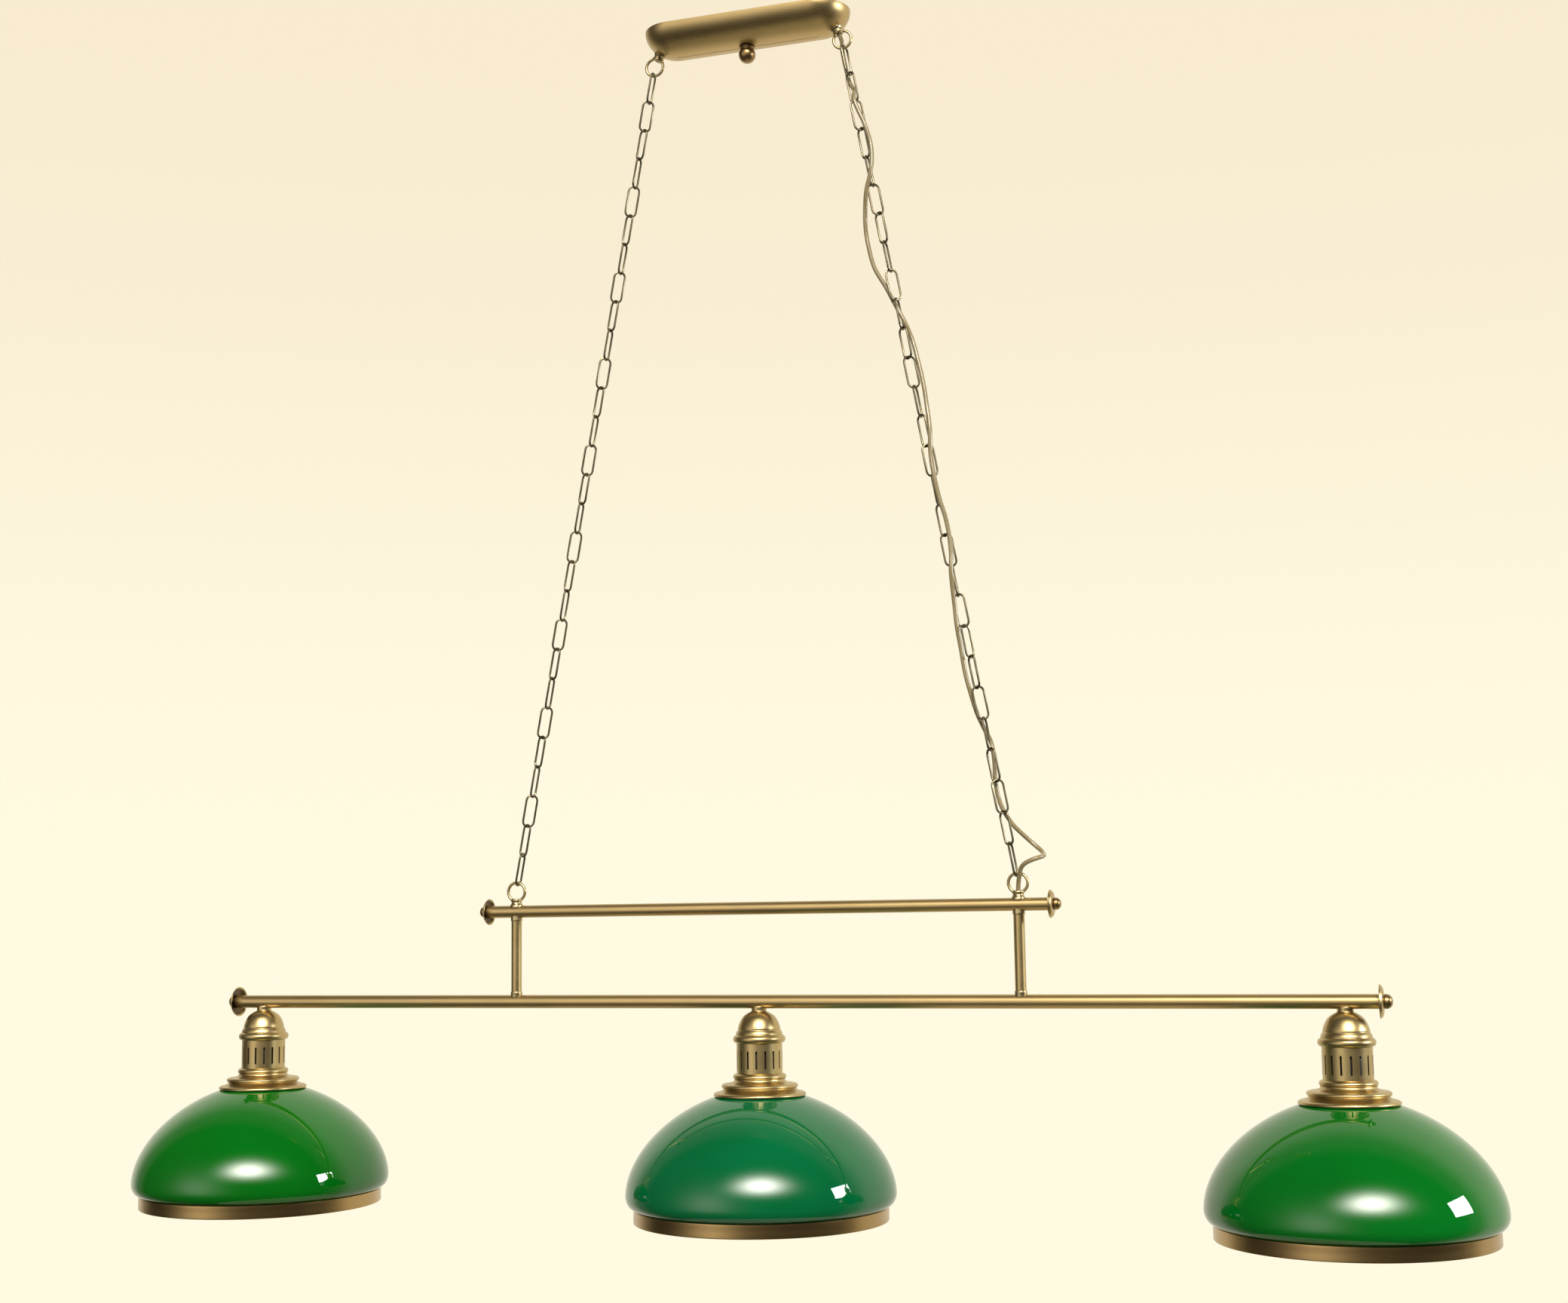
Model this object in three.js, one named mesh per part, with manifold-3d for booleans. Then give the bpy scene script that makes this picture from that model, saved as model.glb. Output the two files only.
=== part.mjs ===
// Pool table lamp: a ceiling canopy, two chains, a double-bar frame and three glass shades.
// Millimetres, +Z up. The origin is at the ceiling, above the middle of the canopy.
// +X runs along the bars and -Y is the front.
import * as THREE from "three";
import { mergeVertices } from "three/addons/utils/BufferGeometryUtils.js";
import Module from "manifold-3d";

const wasm = await Module();
wasm.setup();

// ---- driving dimensions ----
const GAP = 0.3; // running gap between neighbouring pieces
const CANOPY_LENGTH = 250;
const CANOPY_RADIUS = 37.5;
const CANOPY_DEPTH = 30;
const CANOPY_WALL = 1.3;
const STRAP = { length: 190, width: 24, thick: 2, slotX: 70, slotLength: 20, slotWidth: 5 };
const STUD_RADIUS = 3;
const STUD_END = -38;
const RING_RADIUS = 10.5; // eyelet wire centre line
const RING_WIRE = 1.7;
const RING_OPENING = 26.3; // degrees each side of the collar
const COLLAR = { outer: 6.5, bore: 3, near: 7.8, far: 18 };
const CANOPY_RING = { x: 116.3, z: -37.8, lean: 26 };
const FRAME_RING = { x: 295, z: -1006.3 };
const LINK_COUNT = 28;
const LINK_WIRE = 1.25;
const LINK_END = 6; // centre-line half width of a link
const RING_TO_LINK = 3.15;
const LOOSE_LINK = 2.8;
const FUSED_LINK = 2.2;
const CABLE_RADIUS = 2.5;
const UPPER = { z: -1029, radius: 7, bore: 5.6, end: 332, flange: 15, finial: 6.5, reach: 7.3 };
const LOWER = { z: -1131.5, radius: 7.5, bore: 6.1, end: 665, flange: 17.3, finial: 7.5, reach: 8.3 };
const POST_X = 295;
const POST_RADIUS = 6;
const FERRULE = { radius: 6.7, height: 4 };
const LAMP_X = 628;
const NIPPLE = { radius: 5, bore: 3.4, top: 3, bottom: 60 };
const SLEEVE = { outer: 25.2, inner: 24.2, top: 44.9, bottom: 77.2, slots: 16, slotWidth: 2 };
const SHADE_RADIUS = 148.5;
const SHADE_TOP = 93.5; // depth below the lower bar of the full dome's crown
const SHADE_WIDEST = 206.5;
const SHADE_WALL = 3.2;
const SHADE_SEGMENTS = 20;

// ---- finishes ----
const finish = (color, roughness, metalness) =>
  new THREE.MeshStandardMaterial({ color, roughness, metalness });
const FINISH = {
  brass: finish(0xa5875a, 0.38, 1),
  brightBrass: finish(0xc2a25c, 0.25, 1),
  copperBrass: finish(0x96733c, 0.3, 1),
  chain: finish(0x786950, 0.45, 1),
  steel: finish(0x9a9a94, 0.4, 1),
  glass: finish(0x0b6b3a, 0.08, 0),
  bulb: finish(0xf1eee4, 0.5, 0),
  holder: finish(0x241c16, 0.4, 0),
  terminal: finish(0xe8e6de, 0.6, 0),
  cable: finish(0xa58c5a, 0.4, 0),
};

const group = new THREE.Group();

// ---- geometry helpers ----
function solid(geometry) {
  const flat = geometry.index ? geometry.toNonIndexed() : geometry;
  const bare = new THREE.BufferGeometry().setAttribute("position", flat.getAttribute("position"));
  const merged = mergeVertices(bare, 1e-4);
  return new wasm.Manifold(
    new wasm.Mesh({
      numProp: 3,
      vertProperties: merged.attributes.position.array,
      triVerts: new Uint32Array(merged.index.array),
    }),
  );
}

function geometryOf(body) {
  const mesh = body.getMesh();
  return new THREE.BufferGeometry()
    .setAttribute("position", new THREE.BufferAttribute(new Float32Array(mesh.vertProperties), 3))
    .setIndex(new THREE.BufferAttribute(new Uint32Array(mesh.triVerts), 1));
}

function cut(geometry, ...tools) {
  return geometryOf(tools.reduce((body, tool) => body.subtract(solid(tool)), solid(geometry)));
}

function join(...geometries) {
  return geometryOf(geometries.map(solid).reduce((a, b) => a.add(b)));
}

function add(name, geometry, material) {
  const mesh = new THREE.Mesh(geometry, material);
  mesh.name = name;
  group.add(mesh);
}

// A turned piece about Z. The profile is [radius, height] pairs and closes on the axis or on itself.
function turned(profile, segments, phiStart = 0) {
  let points = profile.map(([r, z]) => new THREE.Vector2(r, z));
  const first = points[0];
  const last = points[points.length - 1];
  if (first.x > 0 || last.x > 0) points.push(first.clone());
  if (THREE.ShapeUtils.area(points) < 0) points = points.reverse();
  return new THREE.LatheGeometry(points, segments, phiStart).rotateX(Math.PI / 2);
}

// The same profile, pulled apart along X into a round-ended plan.
function stadium(profile, length, segments) {
  const geometry = turned(profile, segments, Math.PI / segments);
  const position = geometry.attributes.position;
  const rows = position.count / (segments + 1);
  for (let i = 0; i < position.count; i++) {
    const phi = Math.PI / segments + (Math.floor(i / rows) / segments) * 2 * Math.PI;
    position.setX(i, position.getX(i) + (Math.sign(Math.sin(phi)) * length) / 2);
  }
  return geometry;
}

function rod(radius, from, to, segments = 12) {
  const a = new THREE.Vector3(...from);
  const b = new THREE.Vector3(...to);
  const axis = b.clone().sub(a);
  const turn = new THREE.Quaternion().setFromUnitVectors(
    new THREE.Vector3(0, 1, 0),
    axis.clone().normalize(),
  );
  const middle = a.add(b).multiplyScalar(0.5);
  return new THREE.CylinderGeometry(radius, radius, axis.length(), segments)
    .applyQuaternion(turn)
    .translate(middle.x, middle.y, middle.z);
}

// Round wire along a planar path, mitred at each point, with a corner of its section in the plane.
function wire(points, normal, radius, sides, closed) {
  const count = points.length;
  const vertices = [];
  const faces = [];
  points.forEach((point, i) => {
    const before = points[closed ? (i + count - 1) % count : Math.max(i - 1, 0)];
    const after = points[closed ? (i + 1) % count : Math.min(i + 1, count - 1)];
    const a = point.clone().sub(before).normalize();
    const b = after.clone().sub(point).normalize();
    const along = a.clone().add(b).normalize();
    const mitre = a.lengthSq() && b.lengthSq() ? 1 / along.dot(b) : 1;
    const side = along.clone().cross(normal).normalize();
    for (let k = 0; k < sides; k++) {
      const angle = (k / sides) * 2 * Math.PI;
      vertices.push(
        point
          .clone()
          .addScaledVector(side, Math.cos(angle) * radius * mitre)
          .addScaledVector(normal, Math.sin(angle) * radius),
      );
    }
  });
  const spans = closed ? count : count - 1;
  for (let i = 0; i < spans; i++)
    for (let k = 0; k < sides; k++) {
      const a = i * sides + k;
      const b = i * sides + ((k + 1) % sides);
      const c = ((i + 1) % count) * sides + k;
      const d = ((i + 1) % count) * sides + ((k + 1) % sides);
      faces.push(a, c, b, b, c, d);
    }
  if (!closed)
    for (let k = 1; k < sides - 1; k++) {
      const end = (count - 1) * sides;
      faces.push(0, k, k + 1, end, end + k + 1, end + k);
    }
  const geometry = new THREE.BufferGeometry().setFromPoints(vertices).setIndex(faces);
  return solid(geometry).volume() < 0 ? flipped(geometry) : geometry;
}

function flipped(geometry) {
  const index = Array.from(geometry.index.array);
  for (let i = 0; i < index.length; i += 3) [index[i + 1], index[i + 2]] = [index[i + 2], index[i + 1]];
  return geometry.setIndex(index);
}

// ---- canopy: bracket, stud, shell, knob and terminal block ----
const half = (CANOPY_LENGTH - 2 * CANOPY_RADIUS) / 2;
const bowl = (radius, depth, top, steps = 5) => {
  const points = [];
  for (let i = 0; i <= steps; i++) {
    const angle = (i / steps) * (Math.PI / 2);
    points.push([radius * Math.cos(angle), -depth * Math.sin(angle)]);
  }
  points[steps][0] = 0;
  return top === undefined ? points : [[0, top], [radius, top], ...points];
};

function bracket() {
  const shape = new THREE.Shape();
  const x = STRAP.length / 2;
  const y = STRAP.width / 2;
  shape.moveTo(-x + y, -y).lineTo(x - y, -y).absarc(x - y, 0, y, -Math.PI / 2, Math.PI / 2);
  shape.lineTo(-x + y, y).absarc(-x + y, 0, y, Math.PI / 2, 1.5 * Math.PI);
  for (const side of [-1, 1]) {
    const slot = new THREE.Path();
    const r = STRAP.slotWidth / 2;
    const reach = STRAP.slotLength / 2 - r;
    const middle = side * STRAP.slotX;
    slot.moveTo(middle - reach, -r).absarc(middle + reach, 0, r, -Math.PI / 2, Math.PI / 2);
    slot.absarc(middle - reach, 0, r, Math.PI / 2, 1.5 * Math.PI);
    shape.holes.push(slot);
  }
  const options = { depth: STRAP.thick, bevelEnabled: false, curveSegments: 5 };
  return new THREE.ExtrudeGeometry(shape, options).translate(0, 0, -STRAP.thick);
}

const eyeletAxis = (side) => {
  const lean = THREE.MathUtils.degToRad(CANOPY_RING.lean);
  return new THREE.Vector3(-side * Math.sin(lean), 0, Math.cos(lean));
};
const canopyRing = (side) => new THREE.Vector3(side * CANOPY_RING.x, 0, CANOPY_RING.z);
const frameRing = (side) => new THREE.Vector3(side * FRAME_RING.x, 0, FRAME_RING.z);

function canopyShell() {
  const outer = bowl(CANOPY_RADIUS, CANOPY_DEPTH);
  const inner = bowl(CANOPY_RADIUS - CANOPY_WALL, CANOPY_DEPTH - CANOPY_WALL).reverse();
  const bores = [-1, 1].map((side) => {
    const ring = canopyRing(side);
    const far = ring.clone().addScaledVector(eyeletAxis(side), 32);
    return rod(COLLAR.bore + 0.2, ring.toArray(), far.toArray(), 10);
  });
  const shell = stadium([...outer, ...inner], 2 * half, 24);
  return cut(shell, rod(STUD_RADIUS + 0.5, [0, 0, -50], [0, 0, -10], 12), ...bores);
}

function canopyStud() {
  return turned(
    [[0, -2.3], [5, -2.3], [5, -3.6], [STUD_RADIUS, -4.6], [STUD_RADIUS, STUD_END + 1], [2.2, STUD_END],
      [0, STUD_END]],
    10,
  );
}

function canopyKnob() {
  return turned(
    [[3.4, -30.4], [9.2, -30.4], [9.2, -31.1], [8, -32.3], [8.3, -33.6], [9.4, -36], [9.8, -39.2],
      [9, -43.1], [6.6, -46.6], [0, -49], [0, -39.5], [3.4, -39.5]],
    12,
  );
}

function terminalBlock() {
  const body = new THREE.BoxGeometry(34, 16, 12).translate(55, 0, -8.6);
  const wells = [-10.5, 0, 10.5].flatMap((x) =>
    [-4.6, 4.6].map((y) => rod(1.9, [55 + x, y, -20], [55 + x, y, -11.6], 6)),
  );
  return cut(body, ...wells);
}

add("ceiling_bracket", bracket(), FINISH.steel);
add("canopy_shell", canopyShell(), FINISH.brass);
add("canopy_stud", canopyStud(), FINISH.steel);
add("canopy_knob", canopyKnob(), FINISH.brightBrass);
add("terminal_block", terminalBlock(), FINISH.terminal);

// ---- eyelets: a round wire ring whose two ends sink into a bored collar ----
function eyelet(center, axis) {
  const across = new THREE.Vector3(0, 1, 0).cross(axis);
  const at = (angle, radius) =>
    center
      .clone()
      .addScaledVector(axis, Math.cos(angle) * radius)
      .addScaledVector(across, Math.sin(angle) * radius);
  const start = THREE.MathUtils.degToRad(RING_OPENING);
  const path = [];
  for (let i = 0; i <= 12; i++) path.push(at(start + (i / 12) * 2 * (Math.PI - start), RING_RADIUS));
  const leg = new THREE.Vector3().copy(axis).multiplyScalar(2.2);
  path.unshift(path[0].clone().add(leg));
  path.push(path[path.length - 1].clone().add(leg));
  const along = (distance) => center.clone().addScaledVector(axis, distance).toArray();
  const collar = rod(COLLAR.outer, along(COLLAR.near), along(COLLAR.far), 12);
  const ring = wire(path, new THREE.Vector3(0, 1, 0), RING_WIRE, 6, false);
  return cut(join(ring, collar), rod(COLLAR.bore, along(5), along(20), 10));
}

for (const [word, side] of [["left", -1], ["right", 1]]) {
  const outside = stadium(bowl(CANOPY_RADIUS + GAP, CANOPY_DEPTH + GAP, 5), 2 * half, 24);
  add(
    `canopy_eyelet_${word}`,
    cut(eyelet(canopyRing(side), eyeletAxis(side)), outside),
    FINISH.brightBrass,
  );
  const bar = rod(UPPER.radius + GAP, [side * POST_X - 20, 0, UPPER.z], [side * POST_X + 20, 0, UPPER.z], 24);
  add(
    `frame_eyelet_${word}`,
    cut(eyelet(frameRing(side), new THREE.Vector3(0, 0, -1)), bar),
    FINISH.brightBrass,
  );
}

// ---- chains ----
// The chain's line touches both rings, so it is found by walking the two contact points together.
function chainLine(side) {
  const direction = frameRing(side).sub(canopyRing(side)).normalize();
  let top;
  let bottom;
  for (let i = 0; i < 12; i++) {
    top = canopyRing(side).addScaledVector(direction, RING_RADIUS);
    bottom = frameRing(side).addScaledVector(direction, -RING_RADIUS);
    direction.copy(bottom).sub(top).normalize();
  }
  const sideways = new THREE.Vector3(-direction.z, 0, direction.x);
  return { top, direction, sideways, length: top.distanceTo(bottom) };
}

const CHAIN = { left: chainLine(-1), right: chainLine(1) };
const contacts = Array.from({ length: LINK_COUNT - 1 }, (_, i) =>
  i === 0 || i === LINK_COUNT - 2 ? LOOSE_LINK : FUSED_LINK,
);
const LINK_LENGTH =
  (CHAIN.right.length + 2 * RING_TO_LINK + contacts.reduce((a, b) => a + b)) / LINK_COUNT;
const LINK_TOPS = [-RING_TO_LINK];
for (const spacing of contacts) LINK_TOPS.push(LINK_TOPS.at(-1) + LINK_LENGTH - spacing);
const PITCH = CHAIN.right.length / LINK_COUNT;

// Each link's turn about the chain, in degrees from the bars' direction: a start, then [links, step] runs.
const TWIST = {
  left: { start: 90, runs: [[27, -60]] },
  right: { start: 75, runs: [[1, 72], [1, 58], [6, -60], [9, 60], [5, 72], [3, 60], [2, -60]] },
};

function chainPoint(line, along, sideways, depth) {
  return line.top
    .clone()
    .addScaledVector(line.direction, along)
    .addScaledVector(line.sideways, sideways)
    .add(new THREE.Vector3(0, depth, 0));
}

function link(line, index, degrees) {
  const turn = THREE.MathUtils.degToRad(degrees);
  const r = LINK_END;
  const top = LINK_TOPS[index];
  const bottom = top + LINK_LENGTH;
  const outline = [[top + r, r], [top, r / 2], [top, -r / 2], [top + r, -r],
    [bottom - r, -r], [bottom, -r / 2], [bottom, r / 2], [bottom - r, r]];
  const points = outline.map(([along, across]) =>
    chainPoint(line, along, across * Math.cos(turn), across * Math.sin(turn)),
  );
  const width = points[0].clone().sub(points[3]).normalize();
  return wire(points, width.cross(line.direction).normalize(), LINK_WIRE, 4, true);
}

for (const word of ["left", "right"]) {
  const twist = [TWIST[word].start];
  for (const [links, step] of TWIST[word].runs)
    for (let i = 0; i < links; i++) twist.push(twist.at(-1) + step);
  const links = twist.map((degrees, i) => link(CHAIN[word], i, degrees));
  add(`chain_${word}_top_link`, links[0], FINISH.chain);
  add(`chain_${word}`, join(...links.slice(1, -1)), FINISH.chain);
  add(`chain_${word}_bottom_link`, links.at(-1), FINISH.chain);
}

// ---- cable: out of the canopy, woven down the right chain and into the frame ----
// Each place is [links down the chain, sideways, depth], the last two in millimetres.
const CABLE_PLACES = [
  [-0.27, -1.6, 2.4], [-0.03, -3.6, 5.2], [0.25, -4.2, 6.2], [0.7, -4.2, 7.2],
  [1.11, -3.5, 7], [1.51, 0.5, 4], [1.86, 0.2, -5.5], [2.27, 2.2, -7],
  [2.89, 6.8, -7], [3.59, 8.8, -6], [4.22, 6.9, -9.2], [4.66, 2, -10.3],
  [5.14, -6.5, -8], [5.81, -14.5, -2], [6.43, -18.5, 0], [7, -19, 0],
  [7.7, -17.5, 1], [8.45, -9.5, 4], [9.06, -3.5, 2.5], [9.7, 3, 2],
  [10.31, 7, 4.5], [11.15, 9.5, 2], [11.96, 10.5, 0], [12.77, 9.5, -2],
  [13.53, 8.6, -6.5], [14.32, 4, -7.5], [15.02, 3, -9], [15.87, 3.5, -8.5],
  [16.48, 5.5, -7.5], [17.07, 5.5, -7], [17.73, 3.5, -8.4], [18.26, 0, -10.5],
  [18.82, -3, -7], [19.29, -5, -4.4], [20.03, -7.6, -3.4], [20.73, -9, 0],
  [21.52, -10, 1], [22.16, -9, 2.5], [22.82, -7, 4.5], [23.29, -4, 8.5],
  [23.82, 0.5, 10.5], [24.37, 0.5, 7.5], [24.88, -2, 7.5], [25.4, -3.5, 7],
  [25.91, -1.5, 7], [26.49, 6, 8], [26.86, 14, 12], [27.2, 22.5, 14],
  [27.45, 29.5, 11.5], [27.6, 33, 5], [27.66, 33, -3], [27.69, 28, -9.5],
  [27.73, 20, -11.5], [27.79, 13, -10.5], [27.9, 8, -8], [28.05, 5, -5.6],
  [28.3, 1, -1.6],
];

function cable() {
  const collar = (distance) => canopyRing(1).addScaledVector(eyeletAxis(1), distance);
  const inside = [[73, 0, -9], [82, 0, -8.4], [93, 0, -7.4], [101.5, 0, -9]];
  const points = [
    ...inside.map((p) => new THREE.Vector3(...p)),
    collar(21), collar(14), collar(8.5),
    ...CABLE_PLACES.map(([n, u, y]) => chainPoint(CHAIN.right, n * PITCH, u, y)),
    ...[8.5, 14, 20.5].map((d) => frameRing(1).add(new THREE.Vector3(0, 0, -d))),
  ];
  const path = new THREE.CatmullRomCurve3(points);
  path.getUtoTmapping = (u) => u; // steps follow the places, so the tight bends get more of them
  const section = new THREE.Shape();
  for (let k = 0; k < 8; k++) {
    const angle = (k / 8) * 2 * Math.PI;
    section[k ? "lineTo" : "moveTo"](CABLE_RADIUS * Math.cos(angle), CABLE_RADIUS * Math.sin(angle));
  }
  return new THREE.ExtrudeGeometry(section, { steps: 76, extrudePath: path, bevelEnabled: false });
}

add("cable", cable(), FINISH.cable);

// ---- frame: two bars, posts, ferrules, end flanges and finials ----
function bar({ z, radius, bore, end }, holes) {
  const neck = 2.6;
  const tube = turned(
    [[neck, -end], [radius, -end], [radius, end], [neck, end], [neck, end - 10], [bore, end - 14],
      [bore, 14 - end], [neck, 10 - end]],
    16,
  ).rotateY(Math.PI / 2);
  return cut(tube.translate(0, 0, z), ...holes);
}

const upperHoles = [-1, 1].flatMap((side) => [
  rod(COLLAR.bore + 0.1, [side * POST_X, 0, UPPER.z + 1], [side * POST_X, 0, UPPER.z + 12], 10),
  rod(4.4, [side * POST_X, 0, UPPER.z - 12], [side * POST_X, 0, UPPER.z - 1], 10),
]);
const lowerHoles = [
  ...[-1, 1].map((side) =>
    rod(4.4, [side * POST_X, 0, LOWER.z + 1], [side * POST_X, 0, LOWER.z + 12], 10),
  ),
  ...[-1, 0, 1].map((side) =>
    rod(NIPPLE.radius + GAP, [side * LAMP_X, 0, LOWER.z - 12], [side * LAMP_X, 0, LOWER.z - 1], 12),
  ),
];
add("upper_bar", bar(UPPER, upperHoles), FINISH.brass);
add("lower_bar", bar(LOWER, lowerHoles), FINISH.brass);

function endFlange({ z, flange, end }, side) {
  const back = end + GAP;
  return turned(
    [[2.6, back], [flange * 0.55, back], [flange * 0.85, back - 1.1], [flange - 0.4, back - 3],
      [flange, back - 2.4], [flange * 0.88, back - 0.1], [flange * 0.58, back + 1.1], [2.6, back + 1.1]],
    14,
  )
    .rotateY((side * Math.PI) / 2)
    .translate(0, 0, z);
}

function endFinial({ z, finial, reach, end }, side) {
  const base = end + 1.7;
  return turned(
    [[0, end - 9], [2.2, end - 9], [2.2, base], [finial * 0.95, base], [finial, base + 1.2],
      [finial * 0.93, base + reach * 0.5], [finial * 0.62, base + reach * 0.84], [0, base + reach]],
    12,
  )
    .rotateY((side * Math.PI) / 2)
    .translate(0, 0, z);
}

const POST_TOP = UPPER.z - UPPER.radius;
const POST_BOTTOM = LOWER.z + LOWER.radius;
for (const [word, side] of [["left", -1], ["right", 1]]) {
  for (const [level, dims] of [["upper", UPPER], ["lower", LOWER]]) {
    add(`${level}_flange_${word}`, endFlange(dims, side), FINISH.brass);
    add(`${level}_finial_${word}`, endFinial(dims, side), FINISH.brightBrass);
    const x = side * POST_X;
    const toward = level === "upper" ? -1 : 1;
    const seat = level === "upper" ? POST_TOP : POST_BOTTOM;
    const ferrule = turned(
      [[POST_RADIUS + GAP, seat - 5 * toward], [FERRULE.radius, seat - 5 * toward],
        [FERRULE.radius, seat + FERRULE.height * toward],
        [POST_RADIUS + GAP, seat + FERRULE.height * toward]],
      12,
    ).translate(x, 0, 0);
    const saddle = rod(dims.radius + GAP, [x - 15, 0, dims.z], [x + 15, 0, dims.z], 24);
    const past = new THREE.BoxGeometry(30, 30, 12).translate(x, 0, dims.z - 6 * toward);
    add(`post_ferrule_${level}_${word}`, cut(ferrule, saddle, past), FINISH.brightBrass);
  }
  const post = turned(
    [[4.4, POST_BOTTOM + GAP], [POST_RADIUS, POST_BOTTOM + GAP], [POST_RADIUS, POST_TOP - GAP],
      [4.4, POST_TOP - GAP]],
    12,
  );
  add(`post_${word}`, post.translate(side * POST_X, 0, 0), FINISH.brass);
}

// ---- lamps: every profile below is [radius, depth below the lower bar's axis] ----
const below = (profile) => profile.map(([r, depth]) => [r, LOWER.z - depth]);

function shadeProfile() {
  const power = 1.8;
  const rise = SHADE_WIDEST - SHADE_TOP;
  const depthAt = (r, radius, height) =>
    SHADE_WIDEST - height * (1 - (r / radius) ** power) ** (1 / power);
  const outer = [23, 50, 80, 108, 130, 143].map((r) => [r, depthAt(r, SHADE_RADIUS, rise)]);
  outer.push([SHADE_RADIUS, SHADE_WIDEST], [145.8, 213.8], [138.1, 220], [138.1, 234.4]);
  const inside = [139.5, 123, 100, 72, 44, 23].map((r) => [
    r,
    depthAt(r, SHADE_RADIUS - SHADE_WALL, rise - SHADE_WALL),
  ]);
  const inner = [[134.8, 234.4], [134.8, 219.4], [142.5, 212.4], [145.3, 206.5], ...inside];
  return below([...outer, ...inner]);
}

const capProfile = below([
  [5.4, 3.5], [8.2, 3.5], [8.2, 10], [14.2, 13.2], [18.9, 17.7], [21.5, 22.6], [23.7, 29.8],
  [25.6, 34.2], [28.8, 39], [28.8, 42.4], [26, 44.6], [24.4, 44.6], [24.4, 36],
  [22.2, 30], [20, 23.4], [17.4, 19], [12.8, 15], [5.4, 12],
]);
const galleryProfile = below([
  [24.2, 77.5], [25.4, 77.5], [29.1, 80], [29.1, 82.4], [27.8, 84], [31.2, 87.2], [39.4, 88.8],
  [41.8, 90.2], [41.8, 92.6], [39.4, 94], [43.4, 96.8], [49.8, 98.2], [50.8, 101.4], [49.2, 101.2],
  [48.4, 99.8], [42.6, 98.2], [37.6, 95], [39.6, 91.4], [32, 89.6], [26.4, 85], [24.2, 80.4],
]);
const holderProfile = below([
  [5.3, 54], [17, 54], [19.6, 57], [19.6, 92.8], [27, 93], [27, 95.1], [20, 95.2], [20, 114], [14, 114],
  [14, 88], [5.3, 88],
]);
const bulbProfile = below([
  [0, 91.5], [8, 92], [13, 95], [13, 117], [19.5, 131], [28, 149], [30, 166], [25.5, 185], [14, 197],
  [0, 200],
]);

function ventSleeve() {
  const { outer, inner, top, bottom, slots, slotWidth } = SLEEVE;
  const tube = turned(below([[inner, top], [outer, top], [outer, bottom], [inner, bottom]]), slots);
  const cuts = Array.from({ length: slots / 2 }, (_, i) =>
    new THREE.BoxGeometry(80, slotWidth, 20)
      .rotateZ(((i + 0.5) / slots) * 2 * Math.PI)
      .translate(0, 0, LOWER.z - 62.4),
  );
  return cut(tube, ...cuts);
}

const LAMP_PIECES = [
  ["nipple", turned(below([[NIPPLE.bore, NIPPLE.top], [NIPPLE.radius, NIPPLE.top],
    [NIPPLE.radius, NIPPLE.bottom], [NIPPLE.bore, NIPPLE.bottom]]), 8), FINISH.steel],
  ["holder_cap", cut(turned(capProfile, 14),
    rod(LOWER.radius + GAP, [-20, 0, LOWER.z], [20, 0, LOWER.z], 24)), FINISH.brass],
  ["vent_sleeve", ventSleeve(), FINISH.brass],
  ["gallery", turned(galleryProfile, 16), FINISH.brass],
  ["shade", turned(shadeProfile(), SHADE_SEGMENTS), FINISH.glass],
  ["rim_band", turned(below([[138.6, 220.8], [139.6, 220.8], [139.6, 235.5], [135.2, 235.5],
    [135.2, 234.7], [138.6, 234.7]]), SHADE_SEGMENTS), FINISH.copperBrass],
  ["lampholder", turned(holderProfile, 10), FINISH.holder],
  ["shade_ring", turned(below([[20.5, 101], [28.5, 101], [28.5, 106.6], [20.5, 106.6]]), 10),
    FINISH.holder],
  ["bulb", turned(bulbProfile, 12), FINISH.bulb],
];
for (const [word, side] of [["left", -1], ["centre", 0], ["right", 1]])
  for (const [piece, geometry, material] of LAMP_PIECES)
    add(`${piece}_${word}`, geometry.clone().translate(side * LAMP_X, 0, 0), material);

export default group;
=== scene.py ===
"""Pool table lamp: the looks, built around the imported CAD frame.

Sizes are in millimetres and become metres in piece() and floor(). Only the camera and the window
are placed in metres. +X runs along the bars, -Y is the front, and the origin is at the ceiling,
above the middle of the canopy.
"""

import math

import bpy
from mathutils import Matrix, Vector


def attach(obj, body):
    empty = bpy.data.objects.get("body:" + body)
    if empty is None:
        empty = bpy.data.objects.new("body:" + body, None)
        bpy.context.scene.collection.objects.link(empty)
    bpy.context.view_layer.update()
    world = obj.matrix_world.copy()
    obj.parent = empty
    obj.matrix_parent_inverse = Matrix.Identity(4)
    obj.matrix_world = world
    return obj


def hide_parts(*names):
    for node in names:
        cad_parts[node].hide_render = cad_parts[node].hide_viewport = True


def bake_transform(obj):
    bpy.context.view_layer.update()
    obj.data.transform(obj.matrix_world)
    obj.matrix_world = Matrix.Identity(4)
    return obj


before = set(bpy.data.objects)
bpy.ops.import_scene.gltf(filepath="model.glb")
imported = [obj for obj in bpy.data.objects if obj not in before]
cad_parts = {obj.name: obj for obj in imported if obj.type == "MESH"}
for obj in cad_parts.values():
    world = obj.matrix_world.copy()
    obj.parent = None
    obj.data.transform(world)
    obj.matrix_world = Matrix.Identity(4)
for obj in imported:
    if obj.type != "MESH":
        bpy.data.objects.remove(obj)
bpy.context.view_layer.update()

MM = 0.001
SIDES = {"left": -1, "right": 1}
LAMPS = {"left": -1, "centre": 0, "right": 1}

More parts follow.
